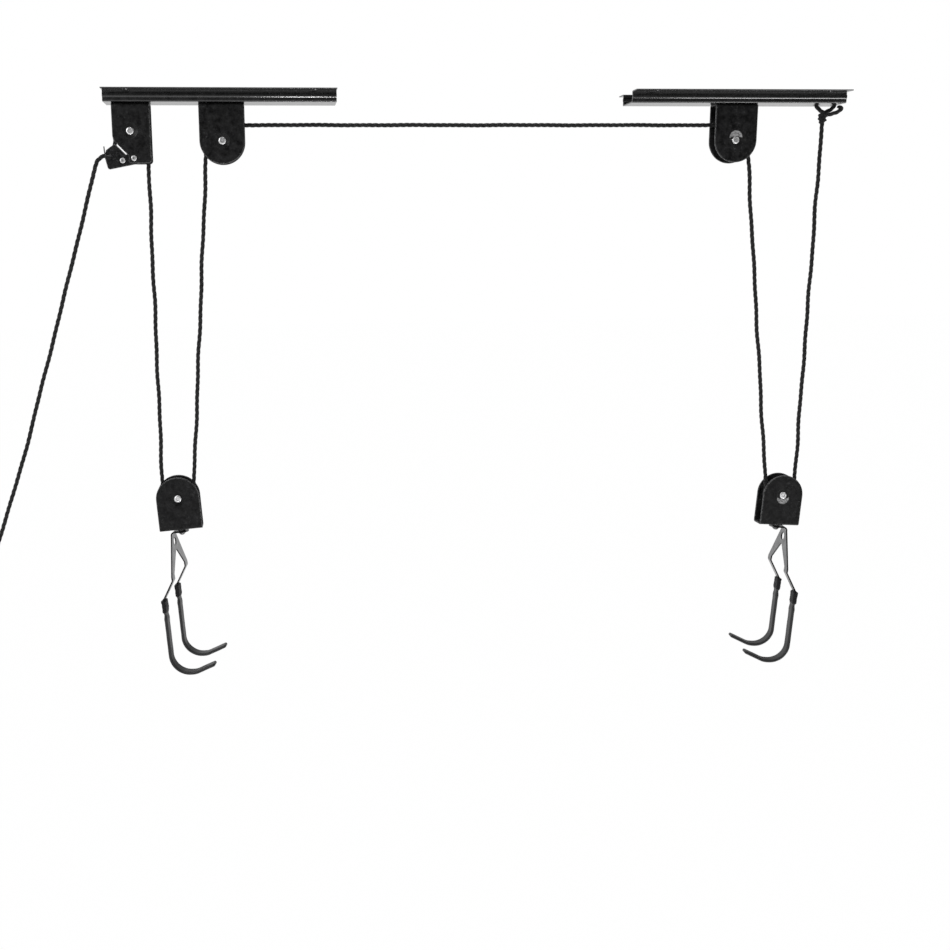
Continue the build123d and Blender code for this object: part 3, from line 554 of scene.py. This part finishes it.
def lay_rope(name, controls, start=0.0, radius=ROPE_R, wave=0.0, taper=0.0):
    """A twisted rope along a smooth route; start is the rope laid before it, so that the lay carries on."""
    line, length = even_line(smooth_line(controls), ROPE_STEP)
    side, up = line_frames(line)
    along = np.linspace(0.0, length, len(line))
    ease = np.minimum(1.0, np.minimum(along, length - along) / WAVE_EASE)
    long_sway = np.sin(along / LONG_WAVE + start * LONG_PHASE)
    short_sway = np.sin(along / SHORT_WAVE + start * SHORT_PHASE)
    sway = wave * ease * (long_sway + SHORT_WAVE_SHARE * short_sway)
    lift = wave * ease * np.sin(along / CROSS_WAVE + start * CROSS_PHASE)
    line = line + up * sway[:, None] + side * lift[:, None]
    section = strand_section(radius)
    rings = []
    for index, point in enumerate(line):
        twist = 2 * math.pi * (start + along[index]) / LAY_LENGTH
        swell = 1.0 + ROPE_SWELL * noise.noise(Vector((start + along[index], 0.31, 0.77)) * SWELL_SCALE)
        if taper:
            swell *= min(1.0, CUT_SHARE + (length - along[index]) / taper)
        ring = []
        for angle, reach in section:
            outward = side[index] * math.cos(angle + twist) + up[index] * math.sin(angle + twist)
            ring.append(point + outward * min(reach * swell, radius))
        rings.append(ring)
    piece = piece_from(name, rings, [ROPE])
    lay_map = piece.data.uv_layers.new(name="lay")
    count = len(section)
    for face in piece.data.polygons:
        at_seam = any(vertex % count == count - 1 for vertex in face.vertices)
        for loop in face.loop_indices:
            step, corner = divmod(piece.data.loops[loop].vertex_index, count)
            share = 1.0 if corner == 0 and at_seam else corner / count
            lay_map.data[loop].uv = (share * STRANDS * 2.0, along[step] / LAY_LENGTH * STRANDS)
    return piece, line, length


def flat(point):
    """A point of the rope's plane, given as (x, z), in space."""
    return Vector((point[0], 0.0, point[1]))


def crossing_tangent(upper, lower, side):
    """Ends of a run from one side of the upper pulley (1 right, -1 left) to the other side of the lower."""
    across, down = lower[0] - upper[0], lower[1] - upper[1]
    half = math.hypot(across, down) / 2
    lean = -side * math.asin(PITCH_R / half)
    x = (across * math.cos(lean) - down * math.sin(lean)) / (2 * half)
    z = (across * math.sin(lean) + down * math.cos(lean)) / (2 * half)
    reach = math.sqrt(half**2 - PITCH_R**2)
    middle = ((upper[0] + lower[0]) / 2, (upper[1] + lower[1]) / 2)
    return (middle[0] - x * reach, middle[1] - z * reach), (middle[0] + x * reach, middle[1] + z * reach)


def right_tangent(start, pulley):
    """Point where a run from start touches the right side of a pulley below it."""
    across, down = pulley[0] - start[0], pulley[1] - start[1]
    distance = math.hypot(across, down)
    lean = math.asin(PITCH_R / distance)
    x = (across * math.cos(lean) - down * math.sin(lean)) / distance
    z = (across * math.sin(lean) + down * math.cos(lean)) / distance
    reach = math.sqrt(distance**2 - PITCH_R**2)
    return start[0] + x * reach, start[1] + z * reach


def wrap(pulley, start, end, way, corners=8):
    """Control points of the rope round a pulley from start to end, way 1 anticlockwise from the front."""
    first = math.atan2(start[1] - pulley[1], start[0] - pulley[0])
    last = math.atan2(end[1] - pulley[1], end[0] - pulley[0])
    turn = (way * (last - first)) % (2 * math.pi)
    share = turn / corners
    reach = PITCH_R / math.cos(share / 2)
    places = [start]
    for corner in range(corners):
        angle = first + way * share * (corner + 0.5)
        places.append((pulley[0] + reach * math.cos(angle), pulley[1] + reach * math.sin(angle)))
    places.append(end)
    return places


anchor_run = (ANCHOR_KNOT_END, right_tangent(ANCHOR_KNOT_END, right_block))
right_rise = crossing_tangent(right_pulley, right_block, 1)
left_fall = crossing_tangent(left_pulley, left_block, -1)
lock_rise = crossing_tangent(lock_sheave, left_block, 1)
crossing = ((right_pulley[0], right_pulley[1] + PITCH_R), (left_pulley[0], left_pulley[1] + PITCH_R))
lock_leave = (lock_sheave[0] - PITCH_R, lock_sheave[1])


def straight(start, end):
    """Control points of a taut run."""
    return [start, tuple((a + b) / 2 for a, b in zip(start, end)), end]


# Each stretch in order from the anchor: name, control points, body, wave height, joint that shortens it
stretches = [
    ("rope_anchor_run", straight(*anchor_run), "ceiling_frame", ROPE_WAVE, "right_block_lift"),
    ("rope_right_block_wrap", wrap(right_block, anchor_run[1], right_rise[1], -1), "right_axle", 0.0, None),
    ("rope_right_rise", straight(*reversed(right_rise)), "ceiling_frame", ROPE_WAVE, "right_block_lift"),
    ("rope_right_pulley_wrap", wrap(right_pulley, right_rise[0], crossing[0], 1, 4),
     "ceiling_frame", 0.0, None),
    ("rope_crossing", straight(*crossing), "ceiling_frame", ROPE_WAVE / 3, None),
    ("rope_left_pulley_wrap", wrap(left_pulley, crossing[1], left_fall[0], 1, 4),
     "ceiling_frame", 0.0, None),
    ("rope_left_fall", straight(*left_fall), "ceiling_frame", ROPE_WAVE, "left_block_lift"),
    ("rope_left_block_wrap", wrap(left_block, left_fall[1], lock_rise[1], -1), "left_axle", 0.0, None),
    ("rope_lock_rise", straight(*reversed(lock_rise)), "ceiling_frame", ROPE_WAVE, "left_block_lift"),
    ("rope_through_lock", wrap(lock_sheave, lock_rise[0], lock_leave, 1) + [LOCK_TURN, LOCK_EXIT],
     "ceiling_frame", 0.0, None),
]
laid = 0.0
for node, route, body, wave, shortened_by in stretches:
    piece, _, length = lay_rope(f"{node}_laid", [flat(point) for point in route], laid, wave=wave)
    laid += length
    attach(piece, body)
    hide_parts(node)
    if shortened_by:
        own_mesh(piece)


def wound_knot(name, start, end, radius, before, tail=0.0):
    """A pulled-tight knot: the rope wound about its own line and tucked back, with any tail past it."""
    first, last = flat(start), flat(end)
    down = (last - first).normalized()
    side = Vector((0, 1, 0))
    other = down.cross(side)
    coil_r = radius - KNOT_SINK_SHARE * ROPE_R
    controls = [first + down * KNOT_ENTRY]
    for step in range(int(KNOT_TURNS * KNOT_STEPS) + 1):
        share = step / (KNOT_TURNS * KNOT_STEPS)
        angle = 2 * math.pi * step / KNOT_STEPS
        reach = coil_r * min(1.0, KNOT_END_REACH + KNOT_GROWTH * min(share, 1 - share))
        middle = first.lerp(last, KNOT_FROM + KNOT_SPAN * share)
        controls.append(middle + (side * math.cos(angle) + other * math.sin(angle)) * reach)
    controls.append(last - down * KNOT_ENTRY)
    coil, _, _ = lay_rope(f"{name}_coil", controls, before, radius=KNOT_ROPE_SHARE * ROPE_R)
    core_end = last + down * tail
    core_line = [first, first.lerp(core_end, 0.5), core_end]
    core, _, _ = lay_rope(f"{name}_core", core_line, before, taper=CUT_TAPER if tail else 0.0)
    return coil, core


hand_route = [flat(point) for point in HAND_LINE]
hand_line, hand_points, hand_length = lay_rope("hand_line_laid", hand_route, laid, wave=ROPE_WAVE / 2)
hand_way = (hand_route[-1] - hand_route[-2]).normalized()
hand_knot_end = hand_route[-1] + hand_way * HAND_KNOT_LENGTH
hand_knot = wound_knot(
    "hand_line_knot", HAND_LINE[-1], (hand_knot_end.x, hand_knot_end.z), HAND_KNOT_R,
    laid + hand_length, HAND_TAIL,
)
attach(hand_line, "ceiling_frame")
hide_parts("hand_line")
for piece in hand_knot:
    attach(piece, "ceiling_frame")
    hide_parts("hand_line_knot")

anchor_knot = wound_knot("rope_anchor_knot", ANCHOR_KNOT_TOP, ANCHOR_KNOT_END, ANCHOR_KNOT_R, 0.0)
anchor_loop, _, _ = lay_rope("rope_anchor_loop_laid", [Vector(point) for point in ANCHOR_LOOP])
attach(anchor_loop, "ceiling_frame")
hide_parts("rope_anchor_loop")
anchor_tail, _, _ = lay_rope("rope_anchor_tail", [Vector(point) for point in ANCHOR_TAIL], taper=CUT_TAPER)
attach(anchor_tail, "ceiling_frame")
for piece in anchor_knot:
    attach(piece, "ceiling_frame")
    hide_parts("rope_anchor_knot")


# Hook sleeves


def bent_line(corners, bends):
    """Evenly spaced points along straight runs joined by round bends, all given as (across, drop)."""
    places = [Vector(corners[0])]
    for before, corner, after, bend in zip(corners, corners[1:], corners[2:], bends):
        corner = Vector(corner)
        into = (corner - Vector(before)).normalized()
        out = (Vector(after) - corner).normalized()
        turn = into.angle(out)
        middle = corner + (out - into).normalized() * bend / math.cos(turn / 2)
        steps = max(3, round(bend * turn / SLEEVE_STEP))
        start = corner - into * bend * math.tan(turn / 2)
        way = 1 if into.cross(out) > 0 else -1
        for index in range(steps + 1):
            angle = way * turn * index / steps
            arm = start - middle
            places.append(middle + Vector((
                arm.x * math.cos(angle) - arm.y * math.sin(angle),
                arm.x * math.sin(angle) + arm.y * math.cos(angle),
            )))
    places.append(Vector(corners[-1]))
    return places


def rounded_outline(wide, thick, corner):
    """Points round a flat section with rounded corners, as (across, over), each with its way outward."""
    corner_steps, face_steps = 6, 6
    outline = []
    for quarter, (way_across, way_over) in enumerate(((1, 1), (-1, 1), (-1, -1), (1, -1))):
        middle = ((wide - corner) * way_across, (thick - corner) * way_over)
        for step in range(corner_steps + 1):
            angle = math.pi / 2 * (quarter + step / corner_steps)
            cosine, sine = math.cos(angle), math.sin(angle)
            outline.append((middle[0] + corner * cosine, middle[1] + corner * sine, cosine, sine))
        if way_across == way_over:
            for step in range(1, face_steps):
                share = 1 - 2 * step / face_steps
                outline.append((middle[0] * share, thick * way_over, 0.0, float(way_over)))
    return outline


def sleeve(label, place, side, y):
    """A vinyl sleeve over one prong: a creased collar at the mouth, a drawn-in neck and a rounded tip."""
    swivel = joints[f"{label}_hook_swivel"]
    origin = Vector(swivel["pos_m"])
    upward = Vector(swivel["axis"])
    turn = Quaternion(upward, math.radians(HOOK_TURN_DEG[label]))
    away = turn @ (Vector((upward.z, 0.0, -upward.x)) * side)
    sideways = turn @ Vector((0.0, 1.0, 0.0))
    rise = (PRONG_FLAT_X, PRONG_LOW_DROP)
    tip = Vector(PRONG_TIP) + (Vector(PRONG_TIP) - Vector(rise)).normalized() * SLEEVE_PAST_TIP
    corners = [(PRONG_X, SLEEVE_TOP_DROP), (PRONG_X, PRONG_LOW_DROP), rise, tuple(tip)]
    route = [
        origin + away * point.x - upward * point.y + sideways * y
        for point in bent_line(corners, PRONG_BENDS)
    ]
    line, length = even_line(route, SLEEVE_STEP)
    across, over = line_frames(line, sideways)
    along = np.linspace(0.0, length, len(line))
    seed = Vector((origin.x * 50, y * 90, 0.5))
    outside = -1.0 if over[0] @ np.array(away) > 0 else 1.0
    rings = []
    for index, point in enumerate(line):
        run = along[index]
        collar = 1.0 / (1.0 + math.exp((run - COLLAR_LENGTH) / COLLAR_EDGE))
        neck = math.exp(-(((run - COLLAR_LENGTH - NECK_AFTER) / NECK_SPREAD) ** 2))
        flare = math.exp(-(((run - COLLAR_LENGTH - FLARE_AFTER) / NECK_SPREAD) ** 2))
        wall = SLEEVE_WALL + (COLLAR_WALL - SLEEVE_WALL) * collar - NECK_DEPTH * neck + FLARE_HEIGHT * flare
        tip_share = math.sqrt(max(0.0, 1 - max(0.0, 1 - (length - run) / SLEEVE_TIP_LENGTH) ** 2))
        wide = (STRIP_W / 2 + wall) * (SLEEVE_TIP_WIDE + (1 - SLEEVE_TIP_WIDE) * tip_share)
        thick = (STRIP_T / 2 + wall) * (SLEEVE_TIP_THICK + (1 - SLEEVE_TIP_THICK) * tip_share)
        fold = 1 - COLLAR_FOLD_SHARE + COLLAR_FOLD_SHARE * math.cos(run / COLLAR_FOLD)
        slack = outside * COLLAR_SLACK * collar * fold
        corner = min(SLEEVE_ROUND, SLEEVE_ROUND_LIMIT * thick)
        ring = []
        for reach_y, reach_z, cosine, sine in rounded_outline(wide, thick, corner):
            loose = slack if sine * outside > COLLAR_SLACK_FROM else 0.0
            spot = point + across[index] * reach_y + over[index] * (reach_z + loose)
            crease = noise.noise((Vector(spot) + seed) * CREASE[0]) * CREASE[1] * collar
            crease += noise.noise((Vector(spot) + seed) * RIPPLE[0]) * RIPPLE[1]
            outward = across[index] * cosine + over[index] * sine
            ring.append(spot + outward * crease)
        rings.append(ring)
    collar_rings = int(COLLAR_LENGTH / length * len(line))
    piece = piece_from(
        f"{label}_hook_sleeve_{place}_vinyl", rings, [VINYL, COLLAR],
        ring_material=lambda ring: 1 if ring < collar_rings else 0,
    )
    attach(piece, f"{label}_hook")
    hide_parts(f"{label}_hook_sleeve_{place}")


for label, side in (("left", 1), ("right", -1)):
    sleeve(label, "front", side, -PRONG_Y)
    sleeve(label, "back", side, PRONG_Y)


# Stage, light and camera


def soft_lamp(name, place, aim, size, power):
    """A round lamp of a given size, turned towards aim."""
    lamp = bpy.data.lights.new(name, "AREA")
    lamp.shape = "DISK"
    lamp.size = size
    lamp.energy = power
    holder = bpy.data.objects.new(name, lamp)
    holder.location = place
    holder.rotation_mode = "QUATERNION"
    holder.rotation_quaternion = (Vector(aim) - Vector(place)).to_track_quat("-Z", "Y")
    bpy.context.scene.collection.objects.link(holder)


def white_room():
    """White where the camera looks, in a room bright at the back and left and dim at the front and right."""
    world = bpy.data.worlds.new("room")
    bpy.context.scene.world = world
    world.use_nodes = True
    tree = world.node_tree
    background = tree.nodes["Background"]

    def add(kind, **settings):
        node = tree.nodes.new(kind)
        for key, value in settings.items():
            setattr(node, key, value)
        return node

    def larger(first, second):
        node = add("ShaderNodeMath", operation="MAXIMUM")
        tree.links.new(first, node.inputs[0])
        tree.links.new(second, node.inputs[1])
        return node.outputs["Value"]

    way = add("ShaderNodeTexCoord")
    towards = add("ShaderNodeVectorMath", operation="DOT_PRODUCT")
    towards.inputs[1].default_value = BRIGHT_SIDE
    tree.links.new(way.outputs["Generated"], towards.inputs[0])

    def span(low, high, start, end):
        node = add("ShaderNodeMapRange", interpolation_type="SMOOTHSTEP")
        for socket, value in (("From Min", low), ("From Max", high), ("To Min", start), ("To Max", end)):
            node.inputs[socket].default_value = value
        tree.links.new(towards.outputs["Value"], node.inputs["Value"])
        return node.outputs["Result"]

    path = add("ShaderNodeLightPath")
    backdrop = add("ShaderNodeMath", operation="MULTIPLY")
    tree.links.new(path.outputs["Is Glossy Ray"], backdrop.inputs[0])
    tree.links.new(span(*BACKDROP_SPAN), backdrop.inputs[1])
    seen = larger(path.outputs["Is Camera Ray"], path.outputs["Is Transmission Ray"])
    seen = larger(seen, backdrop.outputs["Value"])
    tree.links.new(larger(seen, span(*ROOM_SPAN)), background.inputs["Strength"])
    background.inputs["Color"].default_value = (1.0, 1.0, 1.0, 1.0)


def pale_floor():
    """A wide pale floor, far enough down that the hoist hangs clear of it."""
    mesh = bpy.data.meshes.new("floor")
    corners = [(x * FLOOR_REACH, y * FLOOR_REACH, FLOOR_Z) for x, y in ((-1, -1), (1, -1), (1, 1), (-1, 1))]
    mesh.from_pydata(corners, [], [(0, 1, 2, 3)])
    floor = bpy.data.objects.new("floor", mesh)
    bpy.context.scene.collection.objects.link(floor)
    shader = Shader("pale_floor")
    shader.surface.inputs["Base Color"].default_value = (0.9, 0.9, 0.9, 1.0)
    shader.surface.inputs["Roughness"].default_value = 0.9
    glow = shader.add("ShaderNodeEmission")
    path = shader.add("ShaderNodeLightPath")
    blend = shader.add("ShaderNodeMixShader")
    output = shader.tree.nodes["Material Output"]
    seen = shader.add("ShaderNodeMath", operation="MAXIMUM")
    shader.join(path.outputs["Is Camera Ray"], seen.inputs[0])
    shader.join(path.outputs["Is Transmission Ray"], seen.inputs[1])
    backdrop = shader.add("ShaderNodeMath", operation="MAXIMUM")
    shader.join(seen.outputs["Value"], backdrop.inputs[0])
    shader.join(path.outputs["Is Glossy Ray"], backdrop.inputs[1])
    shader.join(shader.times(backdrop.outputs["Value"], FLOOR_SHARE), blend.inputs["Fac"])
    shader.join(shader.surface.outputs["BSDF"], blend.inputs[1])
    shader.join(glow.outputs["Emission"], blend.inputs[2])
    shader.join(blend.outputs["Shader"], output.inputs["Surface"])
    mesh.materials.append(shader.material)


white_room()
pale_floor()
for lamp in LAMPS:
    soft_lamp(*lamp)

camera_data = bpy.data.cameras.new("camera")
camera_data.lens = CAMERA_LENS
camera_data.shift_x, camera_data.shift_y = CAMERA_SHIFT
camera = bpy.data.objects.new("camera", camera_data)
camera.location = CAMERA_PLACE
aim = Euler((math.radians(90 - CAMERA_PITCH_DEG), 0.0, math.radians(-CAMERA_YAW_DEG))).to_quaternion()
camera.rotation_mode = "QUATERNION"
camera.rotation_quaternion = aim @ Quaternion((0.0, 0.0, 1.0), math.radians(CAMERA_ROLL_DEG))
bpy.context.scene.collection.objects.link(camera)
bpy.context.scene.camera = camera
bpy.context.scene.view_settings.view_transform = "Standard"
